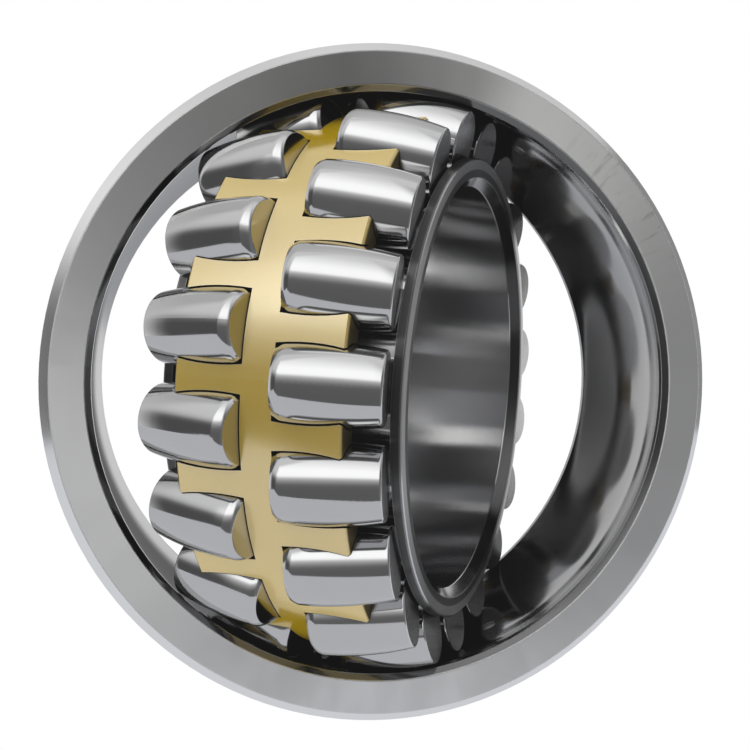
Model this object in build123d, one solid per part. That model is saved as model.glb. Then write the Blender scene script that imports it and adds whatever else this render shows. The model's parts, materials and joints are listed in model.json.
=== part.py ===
from build123d import *
from math import cos, radians, sin, sqrt, tan
import os

# Double-row spherical roller bearing with a machined double-pronged cage.
# Millimetres. The origin is the bearing's centre, Y is the outer ring's axis with
# the front face towards -Y, and Z is up. The inner ring, guide ring, cage and both
# roller rows are swivelled together about Z, out of line with the outer ring.

# Boundary dimensions
bore_diameter = 140.0
outer_diameter = 225.0
ring_width = 78.0

# Pose: angle from the outer ring's axis to the inner ring's axis
swivel_angle = 59.0

# Outer ring
raceway_sphere_radius = 102.6
land_radius = 96.5
face_inner_radius = 98.5
inner_corner_depth = 2.0
outer_corner = 3.3
edge_rounding = 0.5
oil_groove_width = 11.0
oil_groove_depth = 1.7
oil_groove_wall_lean = 1.2
oil_hole_diameter = 6.0
oil_hole_count = 3

# Rollers
rollers_per_row = 19
roller_diameter = 24.6
roller_length = 32.0
roller_crown_radius = 100.0
roller_outer_corner = 0.7
roller_runout_length = 3.0
roller_runout_radius = 5.0
roller_inner_corner = 0.3
contact_angle = 13.0
raceway_play = 0.1

# Inner ring
inner_groove_radius = 102.0
centre_land_radius = 81.4
rib_radius = 79.6
rib_gap = 0.8
rib_corner = 0.6
bore_corner = 3.4

# Cage and guide ring
cage_outer_radius = 94.2
cage_inner_radius = 86.4
prong_reach = 26.6
prong_tip_chamfer = 0.8
pocket_side_gap = 0.4
pocket_end_gap = 0.25
guide_ring_inner_radius = 81.7
guide_ring_outer_radius = 86.1
guide_ring_corner = 0.3

half_width = ring_width / 2
half_length = roller_length / 2
outer_radius = outer_diameter / 2
bore_radius = bore_diameter / 2
pitch_angle = 360.0 / rollers_per_row

# Section of the front row in the (radius, axial) half plane. The roller's axis
# leans in towards the bearing's axis, square to the line of contact.
contact_line = Vector(cos(radians(contact_angle)), sin(radians(contact_angle)))
roller_axis = Vector(-sin(radians(contact_angle)), cos(radians(contact_angle)))
roller_centre = contact_line * (raceway_sphere_radius - raceway_play - roller_diameter / 2)


def swivelled(angle):
    """Frame of a ring set: local Z is the ring axis, local X faces the front at rest."""
    turn = radians(angle)
    return Plane(origin=(0, 0, 0), x_dir=(-cos(turn), -sin(turn), 0), z_dir=(sin(turn), -cos(turn), 0)).location


def ring(outline):
    """Revolve a closed outline of the (radius, axial) half plane about local Z."""
    section = Plane.XZ * make_face(outline)
    return revolve(section, Axis.Z)


def rounded_ring(outline, radius, is_corner):
    """Revolve an outline whose chosen corners are rounded first."""
    flat = make_face(outline)
    corners = [corner for corner in flat.vertices() if is_corner(corner)]
    return revolve(Plane.XZ * fillet(corners, radius), Axis.Z)


def mirrored(upper_points):
    """Add the mirror image across the mid plane, so that the list runs top to bottom."""
    return upper_points + [(x, -y) for x, y in reversed(upper_points)]


def crowned_radius(distance, largest, crown):
    """Radius of a barrel at a distance from its middle."""
    return largest - (crown - sqrt(crown**2 - distance**2))


def make_outer_ring():
    raceway_half_width = sqrt(raceway_sphere_radius**2 - land_radius**2)
    groove_floor_radius = outer_radius - oil_groove_depth
    groove_half_width = oil_groove_width / 2
    outside = mirrored(
        [
            (land_radius, raceway_half_width),
            (land_radius, half_width - inner_corner_depth),
            (face_inner_radius, half_width),
            (outer_radius - outer_corner, half_width),
            (outer_radius, half_width - outer_corner),
            (outer_radius, groove_half_width),
            (groove_floor_radius, groove_half_width - oil_groove_wall_lean),
        ]
    )
    start, end = outside[0], outside[-1]
    outline = Polyline(*outside) + ThreePointArc(end, (raceway_sphere_radius, 0), start)
    body = rounded_ring(outline, edge_rounding, lambda corner: abs(corner.Y) > raceway_half_width + 1)

    hole = Cylinder(oil_hole_diameter / 2, outer_radius - land_radius, rotation=(0, 90, 0))
    hole = Pos((outer_radius + raceway_sphere_radius) / 2, 0, 0) * hole
    holes = [Rot(Z=360.0 / oil_hole_count * index) * hole for index in range(oil_hole_count)]
    return body - holes


def make_inner_ring():
    groove_centre = roller_centre + contact_line * (inner_groove_radius - roller_diameter / 2 - raceway_play)

    def groove_point(along):
        drop = sqrt(inner_groove_radius**2 - along**2)
        point = groove_centre - contact_line * drop + roller_axis * along
        return (point.X, point.Y)

    land_edge_height = groove_centre.Y - sqrt(inner_groove_radius**2 - (groove_centre.X - centre_land_radius) ** 2)
    rib_foot = groove_point(half_length + rib_gap)
    rib_top_height = rib_foot[1] + (rib_radius - rib_foot[0]) * tan(radians(contact_angle))
    groove_start = (centre_land_radius, land_edge_height)
    groove_middle = groove_point(0)

    upper = [
        rib_foot,
        (rib_radius, rib_top_height),
        (rib_radius, half_width - rib_corner),
        (rib_radius - rib_corner, half_width),
        (bore_radius + bore_corner, half_width),
        (bore_radius, half_width - bore_corner),
    ]
    outline = Polyline(*mirrored(upper))
    for side in (1, -1):
        ends = [(x, side * y) for x, y in (rib_foot, groove_middle, groove_start)]
        outline += ThreePointArc(*ends)
    outline += Line(groove_start, (centre_land_radius, -land_edge_height))
    bore_corner_floor = half_width - bore_corner - 1
    return rounded_ring(
        outline,
        edge_rounding,
        lambda corner: corner.X < rib_radius - 2 * rib_corner and abs(corner.Y) > bore_corner_floor,
    )


def roller_end_height(radius, gap):
    """Axial height of the rollers' inner end plane, less a gap, at a given radius."""
    end = roller_centre - roller_axis * (half_length + gap)
    return end.Y + (radius - end.X) * tan(radians(contact_angle))


def make_guide_ring():
    outline = Polyline(
        *mirrored(
            [
                (guide_ring_inner_radius, roller_end_height(guide_ring_inner_radius, pocket_end_gap)),
                (guide_ring_outer_radius, roller_end_height(guide_ring_outer_radius, pocket_end_gap)),
            ]
        ),
        close=True,
    )
    return rounded_ring(outline, guide_ring_corner, lambda corner: True)


def make_roller():
    """Barrel along local Z that runs out in a tight curve before the flat of its inner end."""
    largest = roller_diameter / 2
    outer_end = (crowned_radius(half_length, largest, roller_crown_radius), half_length)
    runout_start = half_length - roller_runout_length
    runout = Vector(crowned_radius(runout_start, largest, roller_crown_radius), -runout_start)
    crown_centre = Vector(largest - roller_crown_radius, 0)
    runout_centre = runout + (crown_centre - runout).normalized() * roller_runout_radius

    def runout_point(height):
        reach = sqrt(roller_runout_radius**2 - (height - runout_centre.Y) ** 2)
        return (runout_centre.X + reach, height)

    inner_end = runout_point(-half_length)
    outline = Polyline(outer_end, (0, half_length), (0, -half_length), inner_end)
    outline += ThreePointArc(inner_end, runout_point(-half_length + roller_runout_length / 2), (runout.X, runout.Y))
    outline += ThreePointArc((runout.X, runout.Y), (largest, 0), outer_end)
    flat = make_face(outline)
    for end, radius in ((1, roller_outer_corner), (-1, roller_inner_corner)):
        rim = [corner for corner in flat.vertices() if corner.X > 1 and corner.Y * end > 0]
        flat = fillet(rim, radius)
    return revolve(Plane.XZ * flat, Axis.Z)


def make_pocket_cutter():
    """Barrel like a roller, larger by the pocket's gap and longer past the prong tips."""
    inner_end = half_length + pocket_end_gap
    largest = roller_diameter / 2 + pocket_side_gap
    end_radius = crowned_radius(inner_end, largest, roller_crown_radius)
    outline = Polyline((end_radius, inner_end), (0, inner_end), (0, -inner_end), (end_radius, -inner_end))
    outline += ThreePointArc((end_radius, -inner_end), (largest, 0), (end_radius, inner_end))
    return ring(outline)


def row_frame(side, angle):
    """Frame of one roller, local Z towards its outer end: side is +1 for the front row, -1 for the rear."""
    outward = Vector(cos(radians(angle)), sin(radians(angle)), 0)
    centre = outward * roller_centre.X + Vector(0, 0, side * roller_centre.Y)
    axis = outward * roller_axis.X + Vector(0, 0, side * roller_axis.Y)
    return Plane(origin=centre, x_dir=outward * contact_line.X + Vector(0, 0, side * contact_line.Y), z_dir=axis)


def row_angles(side):
    """The rear row is set half a pitch on from the front row."""
    start = 0 if side > 0 else pitch_angle / 2
    return [start + pitch_angle * index for index in range(rollers_per_row)]


def make_cage():
    blank = Cylinder(cage_outer_radius, 2 * prong_reach)
    rims = blank.edges().filter_by(GeomType.CIRCLE)
    blank = chamfer(rims, prong_tip_chamfer)
    blank -= Cylinder(cage_inner_radius, 2 * prong_reach)
    cutter = make_pocket_cutter()
    pockets = [row_frame(side, angle).location * cutter for side in (1, -1) for angle in row_angles(side)]
    return blank - pockets


def save(shape, name):
    export_step(shape, f"parts/{name}.step")


os.makedirs("parts", exist_ok=True)
inner_frame = swivelled(swivel_angle)

save(swivelled(0) * make_outer_ring(), "outer_ring")
save(inner_frame * make_inner_ring(), "inner_ring")
save(inner_frame * make_guide_ring(), "guide_ring")
save(inner_frame * make_cage(), "cage")

roller = make_roller()
for row_name, row_side in (("front", 1), ("rear", -1)):
    for number, row_angle in enumerate(row_angles(row_side), start=1):
        placed = inner_frame * row_frame(row_side, row_angle).location * roller
        save(placed, f"{row_name}_roller_{number:02d}")
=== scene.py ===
import json
from math import cos, pi, radians, sin, tau

import bpy
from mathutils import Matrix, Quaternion, Vector

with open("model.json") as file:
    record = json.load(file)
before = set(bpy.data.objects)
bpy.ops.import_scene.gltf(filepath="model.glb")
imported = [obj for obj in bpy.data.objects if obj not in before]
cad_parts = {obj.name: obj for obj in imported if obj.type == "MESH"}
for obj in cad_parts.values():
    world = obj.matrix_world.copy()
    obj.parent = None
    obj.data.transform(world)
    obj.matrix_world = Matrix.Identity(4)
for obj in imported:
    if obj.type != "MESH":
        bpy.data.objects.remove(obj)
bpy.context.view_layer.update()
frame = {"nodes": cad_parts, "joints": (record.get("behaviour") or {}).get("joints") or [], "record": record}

# Sizes from the frame, in metres
MM = 0.001
mounts = {mount["name"]: mount for mount in frame["record"]["mounts"]}
joints = {joint["name"]: joint for joint in frame["joints"]}
ring_radius = mounts["outer_seat"]["dims"]["r_mm"] * MM
bore_radius = mounts["bore"]["dims"]["r_mm"] * MM
half_width = mounts["rear_face"]["pos_m"][1]
inner_axis = Vector(mounts["bore"]["axis"])
swivel = inner_axis.angle(Vector((0, -1, 0)))

# The front rollers: how far out along the inner axis and how far from it they stand, and their lean
roller_centre = Vector(joints["front_roller_01_spin"]["pos_m"])
row_offset = roller_centre.dot(inner_axis)
pitch_radius = (roller_centre - inner_axis * row_offset).length
roller_lean = inner_axis.angle(Vector(joints["front_roller_01_spin"]["axis"]))
roller_half_length = 16 * MM

# Where one finish meets the next, and where painted shade starts: depths of the corners, and radii
raceway_corner = 2 * MM
seat_corner = 3.35 * MM
bore_corner = 3.3 * MM
outer_ring_middle = 104 * MM
inner_ring_middle = 74 * MM
bright_band_radius = 75.8 * MM
seat_radius = ring_radius - 6 * MM
turned_cage_radius = 93.65 * MM


# Node helpers


def new_tree(owner):
    owner.use_nodes = True
    owner.node_tree.nodes.clear()
    return owner.node_tree


def add(tree, kind, inputs=None, **settings):
    """Add a shader node; inputs are sockets to link from, or plain values."""
    made = tree.nodes.new("ShaderNode" + kind)
    for name, value in settings.items():
        setattr(made, name, value)
    for key, value in (inputs or {}).items():
        if isinstance(value, bpy.types.NodeSocket):
            tree.links.new(value, made.inputs[key])
        else:
            made.inputs[key].default_value = value
    return made


def calc(tree, operation, *values):
    return add(tree, "Math", dict(enumerate(values)), operation=operation).outputs[0]


def times(tree, *values):
    """Product of two or more values."""
    product = values[0]
    for value in values[1:]:
        product = calc(tree, "MULTIPLY", product, value)
    return product


def smooth_step(tree, value, low, high, start=0.0, end=1.0):
    inputs = {"Value": value, "From Min": low, "From Max": high, "To Min": start, "To Max": end}
    return add(tree, "MapRange", inputs, interpolation_type="SMOOTHSTEP").outputs["Result"]


def above(tree, value, edge, spread):
    """0 below an edge and 1 above it, changing over the spread on either side."""
    return smooth_step(tree, value, edge - spread, edge + spread)


def below(tree, value, edge, spread):
    return smooth_step(tree, value, edge + spread, edge - spread)


def between(tree, value, start, full, full_to, end):
    """Rises from 0 at start to 1 at full, and falls again from full_to to end."""
    return times(tree, smooth_step(tree, value, start, full), smooth_step(tree, value, end, full_to))


def blend(tree, factor, first, second):
    """Straight mix of two values."""
    inputs = {"Value": factor, "From Min": 0.0, "From Max": 1.0, "To Min": first, "To Max": second}
    return add(tree, "MapRange", inputs).outputs["Result"]


def ramp(tree, factor, stops):
    """Grey ramp through stops of (position, brightness)."""
    made = add(tree, "ValToRGB", {"Fac": factor})
    elements = made.color_ramp.elements
    while len(elements) < len(stops):
        elements.new(0.5)
    for element, (position, grey) in zip(elements, stops):
        element.position = position
        element.color = (grey, grey, grey, 1)
    return made.outputs["Color"]


def mix(tree, factor, first, second):
    """Mix of two colours; a plain number stands for a grey."""
    made = add(tree, "Mix", {"Factor": factor}, data_type="RGBA")
    for key, value in ((6, first), (7, second)):
        if isinstance(value, bpy.types.NodeSocket):
            tree.links.new(value, made.inputs[key])
        elif hasattr(value, "__len__"):
            made.inputs[key].default_value = (*value, 1)
        else:
            made.inputs[key].default_value = (value, value, value, 1)
    return made.outputs[2]


def noise(tree, place, scale, detail=2.0, roughness=0.5):
    inputs = {"Vector": place, "Scale": scale, "Detail": detail, "Roughness": roughness}
    return add(tree, "TexNoise", inputs).outputs["Fac"]


def bumps(tree, height, strength, distance):
    inputs = {"Height": height, "Strength": strength, "Distance": distance}
    return add(tree, "Bump", inputs).outputs[0]


def vector(tree, x, y, z):
    return add(tree, "CombineXYZ", {"X": x, "Y": y, "Z": z}).outputs[0]


def vector_math(tree, operation, *values, result="Vector"):
    return add(tree, "VectorMath", dict(enumerate(values)), operation=operation).outputs[result]


def split(tree, value):
    return add(tree, "SeparateXYZ", {0: value}).outputs


def object_point(tree):
    return add(tree, "TexCoord").outputs["Object"]


def ring_coordinates(tree, turn):
    """Radius, axial place and angle about a ring's axis, and the point in the ring's own frame."""
    inputs = {"Vector": object_point(tree), "Axis": (0, 0, 1), "Angle": -turn}
    point = add(tree, "VectorRotate", inputs, rotation_type="AXIS_ANGLE").outputs[0]
    x, axial, z = split(tree, point)
    radius = calc(tree, "SQRT", calc(tree, "ADD", times(tree, x, x), times(tree, z, z)))
    return radius, axial, calc(tree, "ARCTAN2", z, x), point


def swivelled_pattern(tree):
    """Radius, distance from the middle, fine turned lines and a soft cloud on the swivelled pieces."""
    radius, axial, angle, point = ring_coordinates(tree, swivel)
    around = vector(tree, radius, axial, times(tree, angle, 0.004))
    lines = noise(tree, around, 2200.0, detail=3.0, roughness=0.6)
    return radius, calc(tree, "ABSOLUTE", axial), lines, noise(tree, point, 45.0, detail=4.0)


def edge_highlight(tree, reach):
    """1 along sharp edges, 0 on open surface: where painted highlights go."""
    rounded = add(tree, "Bevel", {"Radius": reach}, samples=4).outputs[0]
    flat = add(tree, "NewGeometry").outputs["Normal"]
    agreement = vector_math(tree, "DOT_PRODUCT", rounded, flat, result="Value")
    return smooth_step(tree, agreement, 0.995, 0.93)


def across_grinding(tree, on_face):
    """Direction across the turned lines of the inner ring: axial, and radial on the side faces."""
    axis = vector(tree, *inner_axis)
    radial = vector_math(tree, "CROSS_PRODUCT", axis, object_point(tree))
    radial = vector_math(tree, "NORMALIZE", vector_math(tree, "CROSS_PRODUCT", radial, axis))
    mixed = add(tree, "Mix", {0: on_face, 4: axis, 5: radial}, data_type="VECTOR").outputs[1]
    settings = {"vector_type": "VECTOR", "convert_from": "OBJECT", "convert_to": "WORLD"}
    return add(tree, "VectorTransform", {"Vector": mixed}, **settings).outputs[0]


def surface(tree, **values):
    """Principled shader to the material output."""
    inputs = {name.replace("_", " "): value for name, value in values.items()}
    shader = add(tree, "BsdfPrincipled", inputs)
    add(tree, "OutputMaterial", {"Surface": shader.outputs[0]})


# Studio: what the bright steel mirrors. Brightness by elevation in degrees, for four
# directions round the object.

steel_shine = 0.62
haze = 0.008
studio = {
    "front": [(-90, 0.07), (-10, 0.085), (0, 0.10), (5, 0.15), (10, 0.23), (15, 0.34), (20, 0.54),
              (23, 0.85), (28, 0.95), (42, 0.95), (56, 0.80), (72, 0.62), (90, 0.53)],
    "left": [(-90, 0.052), (5, 0.056), (10, 0.075), (14, 0.13), (18, 0.27), (23, 0.42), (30, 0.50),
             (60, 0.53), (90, 0.51)],
    "right": [(-90, 0.12), (15, 0.12), (25, 0.09), (35, 0.13), (45, 0.25), (58, 0.38), (72, 0.52),
              (90, 0.54)],
    "back": [(-90, 0.45), (0, 0.52), (20, 0.45), (45, 0.36), (70, 0.38), (90, 0.50)],
}

# Azimuths in degrees, 0 at the front and positive to the right, where the sides meet
left_edge = (-70, -60)
right_edge = (-8, 6)
back_edge = (92, 112)

# A lamp between two dark flags behind the object on the right. Each span is given as where it
# starts, where it is full, how far it stays full and where it ends; height is the sine of elevation.
lamp_tone = 0.85
lamp_span = (124, 128, 142, 148)
flag_tone = 0.15
flag_spans = [(113, 116, 122, 125), (144, 150, 166, 174)]
height_span = (-0.42, -0.26, 0.54, 0.66)


def white_to_camera(tree, kind, seen_in_steel):
    """White where the camera looks straight at it; its own tone in reflections."""
    mirrored = add(tree, kind, {"Color": seen_in_steel, "Strength": 1 / steel_shine})
    plain = add(tree, kind, {"Color": (1, 1, 1, 1), "Strength": 1.0})
    camera_ray = add(tree, "LightPath").outputs["Is Camera Ray"]
    return add(tree, "MixShader", {0: camera_ray, 1: mirrored.outputs[0], 2: plain.outputs[0]}).outputs[0]


def build_studio():
    world = bpy.data.worlds.new("studio")
    bpy.context.scene.world = world
    tree = new_tree(world)
    x, y, z = split(tree, add(tree, "TexCoord").outputs["Generated"])
    height = calc(tree, "ADD", times(tree, calc(tree, "ARCSINE", z), 1 / pi), 0.5)
    azimuth = times(tree, calc(tree, "ARCTAN2", x, times(tree, y, -1.0)), 180 / pi)
    sides = {}
    for name, stops in studio.items():
        sides[name] = ramp(tree, height, [((degrees + 90) / 180, tone) for degrees, tone in stops])
    seen = mix(tree, smooth_step(tree, azimuth, *left_edge), sides["left"], sides["front"])
    seen = mix(tree, smooth_step(tree, azimuth, *right_edge), seen, sides["right"])
    behind = smooth_step(tree, calc(tree, "ABSOLUTE", azimuth), *back_edge)
    seen = mix(tree, behind, seen, sides["back"])
    upright = between(tree, z, *height_span)
    seen = mix(tree, times(tree, between(tree, azimuth, *lamp_span), upright), seen, lamp_tone)
    for flag_span in flag_spans:
        seen = mix(tree, times(tree, between(tree, azimuth, *flag_span), upright), seen, flag_tone)
    add(tree, "OutputWorld", {"Surface": white_to_camera(tree, "Background", seen)})


# The paper under the object ends a little in front of it and to its left, and shows only in
# reflections. Behind the ring a pool of light is painted on it in a patch, with spans given as for the lamp.
paper_left = -0.41
paper_front = -0.19
paper_far = 1.2
paper_tints = [(0.385, 0.39, 0.41), (0.40, 0.405, 0.425)]
patch_x_span = (-0.095, -0.080, -0.005, 0.010)
patch_y_span = (0.040, 0.046, 0.100, 0.112)
painted_light_tint = (1.7, 1.69, 1.65)


def build_floor():
    z = -ring_radius
    corners = [(paper_left, paper_front, z), (paper_far, paper_front, z),
               (paper_far, paper_far, z), (paper_left, paper_far, z)]
    mesh = bpy.data.meshes.new("floor")
    mesh.from_pydata(corners, [], [(0, 1, 2, 3)])
    floor = bpy.data.objects.new("floor", mesh)
    bpy.context.scene.collection.objects.link(floor)
    material = bpy.data.materials.new("pale_paper")
    tree = new_tree(material)
    tint = mix(tree, noise(tree, object_point(tree), 6.0), *paper_tints)
    x, y, _ = split(tree, object_point(tree))
    # painted light: a bright patch on the paper behind the ring, where no lamp shines
    painted_light_patch = times(tree, between(tree, x, *patch_x_span), between(tree, y, *patch_y_span))
    tint = mix(tree, painted_light_patch, tint, painted_light_tint)
    add(tree, "OutputMaterial", {"Surface": white_to_camera(tree, "Emission", tint)})
    mesh.materials.append(material)


# The camera as fitted to the photo: place and direction, lens in millimetres, roll in degrees
camera_place = (-0.07727, -0.39529, 0.00873)
camera_direction = Vector((0.1962, 0.9804, -0.0161))
camera_lens = 53.08
camera_roll = 3.61


def build_camera():
    data = bpy.data.cameras.new("camera")
    data.sensor_width = 36
    data.lens = camera_lens
    data.clip_start = 0.01
    camera = bpy.data.objects.new("camera", data)
    bpy.context.scene.collection.objects.link(camera)
    camera.location = camera_place
    camera.rotation_mode = "QUATERNION"
    roll = Quaternion((0, 0, 1), radians(camera_roll))
    camera.rotation_quaternion = camera_direction.to_track_quat("-Z", "Y") @ roll
    bpy.context.scene.camera = camera


def build_tone():
    """Plain view transform with a touch of studio haze in the blacks."""
    view = bpy.context.scene.view_settings
    view.view_transform = "Standard"
    view.use_curve_mapping = True
    view.curve_mapping.black_level = (-haze, -haze, -haze)
    view.curve_mapping.update()


# Materials


def ground_steel():
    """Outer ring: satin ground side faces with painted shade at their top, painted shade on the inner
    corners and raceway, ground outside, painted highlights along sharp edges.
    """
    material = bpy.data.materials.new("ground_steel")
    tree = new_tree(material)
    radius, axial, angle, point = ring_coordinates(tree, 0.0)
    side = calc(tree, "ABSOLUTE", axial)
    turn = times(tree, angle, 1 / tau)
    on_face = above(tree, side, half_width - 0.25 * MM, 0.15 * MM)
    inside = below(tree, radius, outer_ring_middle, 0.5 * MM)
    corner_edge = half_width - raceway_corner
    on_raceway = times(tree, inside, below(tree, side, corner_edge, 0.2 * MM))
    on_corner = times(tree, inside, above(tree, side, corner_edge, 0.2 * MM))
    on_seat = times(tree, above(tree, radius, seat_radius, 0.5 * MM),
                    below(tree, side, half_width - seat_corner, 0.15 * MM))

    # grinding lines run round the face and round the outside, and streaks cross the face
    around = vector(tree, radius, axial, times(tree, turn, 0.02))
    lines = noise(tree, around, 1800.0, detail=3.0, roughness=0.6)
    across = vector(tree, times(tree, turn, 14.0), times(tree, radius, 8.0), 0.0)
    streaks = noise(tree, across, 4.0, detail=3.0)
    cloud = noise(tree, point, 30.0, detail=4.0)
    # short crosswise grinding marks on the upper right of the face, and painted shade at its top
    marks = vector(tree, times(tree, turn, 260.0), times(tree, radius, 60.0), 0.0)
    marks = smooth_step(tree, noise(tree, marks, 1.0, detail=3.0, roughness=0.6), 0.52, 0.68)
    marks = times(tree, marks, between(tree, angle, 0.38, 0.60, 0.80, 1.05))
    top_shade = between(tree, angle, 1.15, 1.40, 1.75, 2.15)

    face = mix(tree, streaks, (0.82, 0.82, 0.81), (0.93, 0.93, 0.915))
    face = mix(tree, times(tree, cloud, 0.3), face, (0.74, 0.74, 0.745))
    face = mix(tree, times(tree, marks, 0.5), face, (0.42, 0.42, 0.40))
    # painted shade: the top of the face is darkened
    face = mix(tree, times(tree, top_shade, 0.6), face, 0.30)
    polished = mix(tree, cloud, (0.90, 0.90, 0.905), 0.94)
    # painted shade: the inner corners are near black
    polished = mix(tree, on_corner, polished, 0.16)
    # painted shade: the raceway inside the ring is dark grey
    raceway_shade = mix(tree, cloud, (0.33, 0.33, 0.335), 0.37)
    seat = mix(tree, lines, 0.52, (0.66, 0.66, 0.655))
    colour = mix(tree, on_seat, mix(tree, on_raceway, polished, raceway_shade), seat)
    colour = mix(tree, on_face, colour, face)
    # painted highlight: lighter along sharp edges
    colour = mix(tree, times(tree, edge_highlight(tree, 0.5 * MM), 0.35), colour, 0.97)

    face_rough = smooth_step(tree, streaks, 0.3, 0.7, 0.44, 0.54)
    race_rough = smooth_step(tree, cloud, 0.3, 0.7, 0.10, 0.16)
    seat_rough = smooth_step(tree, cloud, 0.3, 0.7, 0.34, 0.44)
    rough = blend(tree, on_face, blend(tree, on_seat, race_rough, seat_rough), face_rough)
    ground = calc(tree, "ADD", calc(tree, "MAXIMUM", on_face, on_seat), 0.12)
    normal = bumps(tree, lines, times(tree, ground, 0.12), 0.02 * MM)
    tangent = add(tree, "Tangent", direction_type="RADIAL", axis="Y").outputs[0]
    surface(tree, Base_Color=colour, Metallic=1.0, Roughness=rough, Anisotropic=0.95, Tangent=tangent,
            Normal=normal)
    return material


def honed_steel():
    """Inner ring: ground bore, painted shade on the bore corners and the inner part of the faces, faces
    bright on their outer part, painted shade on the turned outside, painted highlights along sharp edges.
    """
    material = bpy.data.materials.new("honed_steel")
    tree = new_tree(material)
    radius, side, lines, cloud = swivelled_pattern(tree)
    on_face = above(tree, side, half_width - 0.35 * MM, 0.15 * MM)
    off_face = calc(tree, "SUBTRACT", 1.0, on_face)
    outside = times(tree, above(tree, radius, inner_ring_middle, 0.5 * MM), off_face)
    on_corner = times(tree, above(tree, side, half_width - bore_corner, 0.2 * MM),
                      below(tree, radius, bore_radius + bore_corner, 0.15 * MM))
    bore = mix(tree, cloud, (0.56, 0.56, 0.57), 0.62)
    # painted shade: near black on the bore corners
    corner = mix(tree, cloud, 0.16, 0.22)
    face = mix(tree, cloud, 0.72, (0.78, 0.78, 0.77))
    # painted shade: the faces take the corner colour inside the bright band radius
    face = mix(tree, above(tree, radius, bright_band_radius, 0.2 * MM), corner, face)
    # painted shade: the turned outside between the rows is near black
    dark = mix(tree, cloud, 0.10, (0.15, 0.15, 0.148))
    colour = mix(tree, on_face, mix(tree, on_corner, bore, corner), face)
    colour = mix(tree, outside, colour, dark)
    colour = mix(tree, times(tree, lines, 0.2), colour, 0.10)
    # painted highlight: lighter along sharp edges
    colour = mix(tree, times(tree, edge_highlight(tree, 0.5 * MM), 0.4), colour, 0.95)
    rough = blend(tree, outside, blend(tree, on_face, 0.13, 0.3), 0.34)
    surface(tree, Base_Color=colour, Metallic=1.0, Roughness=rough, Anisotropic=0.95,
            Tangent=across_grinding(tree, on_face), Normal=bumps(tree, lines, 0.05, 0.01 * MM))
    return material


def guide_iron():
    """Guide ring: dark turned iron."""
    material = bpy.data.materials.new("guide_iron")
    tree = new_tree(material)
    _, _, lines, cloud = swivelled_pattern(tree)
    colour = mix(tree, cloud, 0.14, (0.20, 0.20, 0.195))
    rough = smooth_step(tree, cloud, 0.3, 0.7, 0.28, 0.38)
    surface(tree, Base_Color=colour, Metallic=1.0, Roughness=rough,
            Normal=bumps(tree, lines, 0.1, 0.01 * MM))
    return material


def outer_end(tree):
    """1 on a roller's flat outer end, 0 on the rest of it."""
    radius, axial, _, _ = ring_coordinates(tree, swivel)
    outward = calc(tree, "SUBTRACT", calc(tree, "ABSOLUTE", axial), row_offset)
    inward = calc(tree, "SUBTRACT", pitch_radius, radius)
    outward_part = times(tree, outward, cos(roller_lean))
    inward_part = times(tree, inward, sin(roller_lean))
    along = calc(tree, "ADD", outward_part, inward_part)
    return above(tree, along, roller_half_length - 0.3 * MM, 0.2 * MM)


def open_space(tree, reach):
    """1 where nothing stands within reach of the surface, less in gaps."""
    return add(tree, "AmbientOcclusion", {"Distance": reach}, samples=8).outputs["AO"]


def roller_steel():
    """Rollers: superfinished to a mirror, with ground ends, and painted shade down in the gaps and on ends
    near other parts.
    """
    material = bpy.data.materials.new("roller_steel")
    tree = new_tree(material)
    on_end = outer_end(tree)
    cloud = noise(tree, object_point(tree), 60.0, detail=4.0)
    fine = noise(tree, object_point(tree), 900.0, detail=3.0)
    colour = mix(tree, cloud, (0.60, 0.60, 0.605), 0.64)
    # painted shade: the barrels go near black where other parts stand within 3 mm
    clear_of_painted_shade = smooth_step(tree, open_space(tree, 3 * MM), 0.45, 0.85)
    colour = mix(tree, clear_of_painted_shade, (0.07, 0.07, 0.065), colour)
    # painted shade: the outer ends darken where other parts stand within 30 mm
    end_clear_of_painted_shade = smooth_step(tree, open_space(tree, 30 * MM), 0.70, 0.90)
    end = mix(tree, end_clear_of_painted_shade, (0.13, 0.13, 0.128), 0.80)
    colour = mix(tree, on_end, colour, end)
    rough = blend(tree, on_end, smooth_step(tree, cloud, 0.3, 0.7, 0.07, 0.11), 0.22)
    surface(tree, Base_Color=colour, Metallic=1.0, Roughness=rough,
            Normal=bumps(tree, fine, 0.02, 0.01 * MM))
    return material


def cage_brass():
    """Machined brass: bright outside, with painted shade in the pockets and on the prong tips, and painted
    highlights along the outside edges.
    """
    material = bpy.data.materials.new("cage_brass")
    tree = new_tree(material)
    radius, _, lines, cloud = swivelled_pattern(tree)
    outside = above(tree, radius, turned_cage_radius, 0.25 * MM)
    bright = mix(tree, cloud, (0.97, 0.62, 0.004), (1.0, 0.68, 0.012))
    # painted shade: pockets and prong tips get a dark brown in place of the brass
    pocket_shade = mix(tree, cloud, (0.16, 0.12, 0.055), (0.22, 0.17, 0.08))
    colour = mix(tree, outside, pocket_shade, bright)
    # painted highlight: pale brass along the outside edges
    edge = times(tree, edge_highlight(tree, 0.4 * MM), outside)
    colour = mix(tree, times(tree, edge, 0.6), colour, (1.0, 0.86, 0.50))
    rough = blend(tree, outside, 0.45, smooth_step(tree, cloud, 0.3, 0.7, 0.15, 0.20))
    metallic = blend(tree, outside, 1.0, 0.05)
    surface(tree, Base_Color=colour, Metallic=metallic, Roughness=rough, IOR=5.0,
            Specular_Tint=(1.0, 0.96, 0.84, 1.0), Normal=bumps(tree, lines, 0.05, 0.01 * MM))
    return material


def dress(names, material):
    for name in names:
        slots = frame["nodes"][name].data.materials
        slots.clear()
        slots.append(material)


dress(["outer_ring"], ground_steel())
dress(["inner_ring"], honed_steel())
dress(["guide_ring"], guide_iron())
dress(["cage"], cage_brass())
dress([name for name in frame["nodes"] if "roller" in name], roller_steel())

build_studio()
build_floor()
build_camera()
build_tone()
